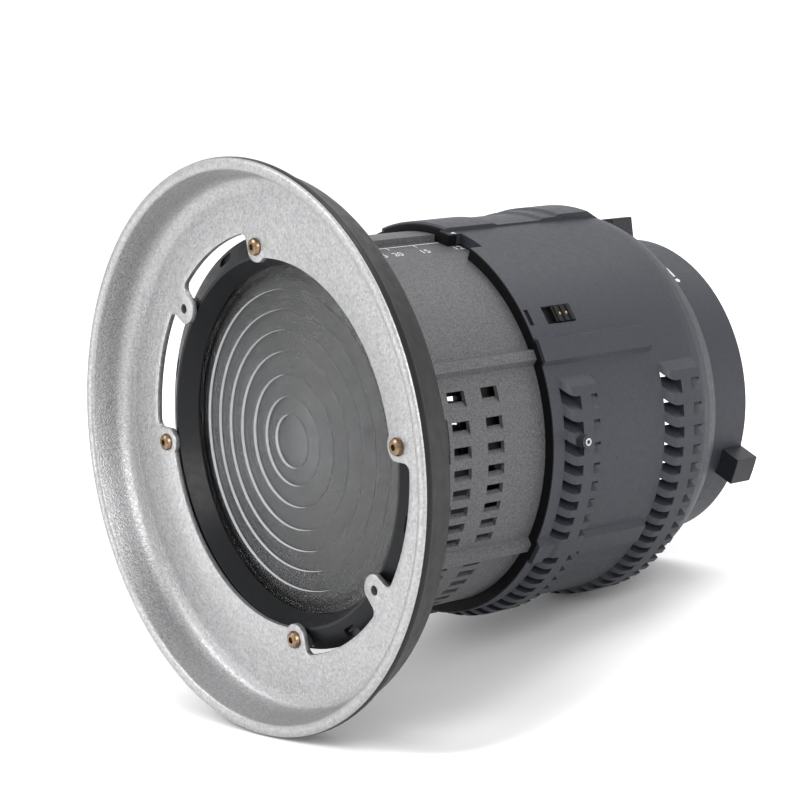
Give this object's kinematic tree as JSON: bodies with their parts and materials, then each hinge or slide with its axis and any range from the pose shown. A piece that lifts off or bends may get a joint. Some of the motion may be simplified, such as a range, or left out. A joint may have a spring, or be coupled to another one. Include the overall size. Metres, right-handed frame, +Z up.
{
  "type": "fresnel spotlight",
  "caption": "Zoom fresnel head for a studio flash: stepped glass lens in a wide dish flange on a vented sliding barrel, vented housing and lugged rear bayonet.",
  "frame": {"origin": "centre of the rear bayonet's seat, on the optical axis", "axes": "+Y to the rear along the optical axis, so the light leaves along -Y; +Z up"},
  "size_m": [0.184, 0.1738, 0.184],
  "materials": {
    "dish_metal": "spun sheet, satin pebbled silver inside, satin black outside",
    "brass": "dull brass",
    "housing_plastic": "moulded, fine satin texture",
    "barrel_metal": "grainy textured grey",
    "steel": "machined",
    "lens_glass": "clear pressed glass, stippled steps",
    "rubber": "soft black",
    "black_plastic": "smooth black",
    "nylon": "natural nylon",
    "lug_metal": "dark paint",
    "white_ink": "printed white"
  },
  "bodies": {
    "housing": {"housing_shell": "housing_plastic", "barrel_seal": "rubber", "friction_screw": "steel", "friction_tip": "nylon", "latch_plate": "steel", "latch_screw": "steel", "bayonet_spigot": "housing_plastic", "bayonet_lugs": "lug_metal", "lug_screws": "steel", "spigot_screws": "steel", "light_shield": "steel", "index_mark": "white_ink"},
    "barrel": {"dish_flange": "dish_metal", "flange_screws": "brass", "flange_inserts": "brass", "lens_carrier": "housing_plastic", "lens_bezel": "housing_plastic", "bezel_screws": "steel", "fresnel_lens": "lens_glass", "lens_gasket": "rubber", "zoom_barrel": "barrel_metal", "carrier_screws": "steel", "stop_ring": "black_plastic", "stop_ring_screws": "steel", "glide_pads": "nylon"},
    "latch": {"latch_slider": "black_plastic"}
  },
  "joints": [
    {"name": "zoom_slide", "type": "slide", "parent": "housing", "child": "barrel", "axis": [0, 1, 0], "range_m": [0, 0.04]},
    {"name": "latch_slide", "type": "slide", "parent": "housing", "child": "latch", "axis": [0, -1, 0], "range_m": [0, 0.0034]}
  ]
}
